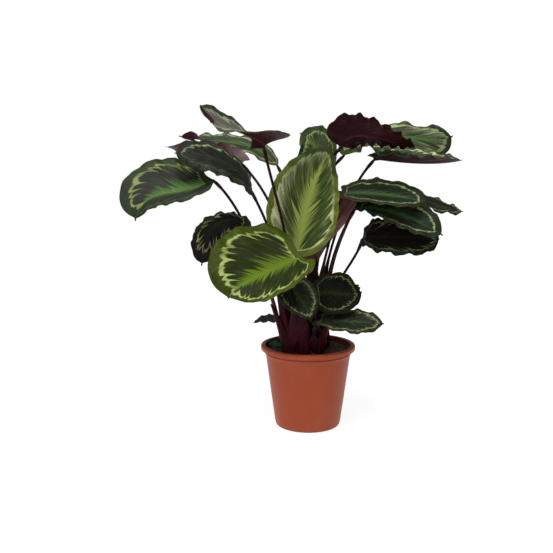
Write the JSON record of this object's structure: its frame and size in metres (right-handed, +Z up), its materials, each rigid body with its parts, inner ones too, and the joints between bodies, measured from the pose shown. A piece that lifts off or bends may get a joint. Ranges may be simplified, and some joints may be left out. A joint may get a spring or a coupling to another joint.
{
  "type": "potted calathea",
  "caption": "Calathea houseplant with broad patterned leaves on thin maroon stalks, in a tapered terracotta-coloured plastic nursery pot.",
  "frame": {"origin": "middle of the pot's underside, on the surface that it stands on", "axes": "+Z up; -Y is the plant's front; +X is to the right seen from the front"},
  "size_m": [0.6104, 0.3704, 0.5695],
  "materials": {
    "terracotta_plastic": "satin moulded plastic, reddish brown",
    "potting_soil": "rough dark crumbs",
    "leaf": "satin, dark green with a pale feathered ring above, maroon beneath",
    "stalk": "satin maroon"
  },
  "bodies": {
    "root": {"blade_arched_left": "leaf", "blade_back_left": "leaf", "blade_back_right": "leaf", "blade_crown_left": "leaf", "blade_crown_right": "leaf", "blade_curled_left": "leaf", "blade_dark_left": "leaf", "blade_edge_on_right": "leaf", "blade_far_left": "leaf", "blade_front": "leaf", "blade_long_right": "leaf", "blade_low_front": "leaf", "blade_low_right": "leaf", "blade_lower_right": "leaf", "blade_middle": "leaf", "blade_middle_back": "leaf", "blade_middle_right": "leaf", "blade_rear": "leaf", "blade_rear_left": "leaf", "blade_rear_right": "leaf", "blade_rim_left": "leaf", "blade_rim_right": "leaf", "blade_rolled": "leaf", "blade_upper_right": "leaf", "pot": "terracotta_plastic", "soil": "potting_soil", "stalk_arched_left": "stalk", "stalk_back_left": "stalk", "stalk_back_right": "stalk", "stalk_crown_left": "stalk", "stalk_crown_right": "stalk", "stalk_curled_left": "stalk", "stalk_dark_left": "stalk", "stalk_edge_on_right": "stalk", "stalk_far_left": "stalk", "stalk_front": "stalk", "stalk_long_right": "stalk", "stalk_low_front": "stalk", "stalk_low_right": "stalk", "stalk_lower_right": "stalk", "stalk_middle": "stalk", "stalk_middle_back": "stalk", "stalk_middle_right": "stalk", "stalk_rear": "stalk", "stalk_rear_left": "stalk", "stalk_rear_right": "stalk", "stalk_rim_left": "stalk", "stalk_rim_right": "stalk", "stalk_rolled": "stalk", "stalk_upper_right": "stalk"}
  },
  "joints": []
}
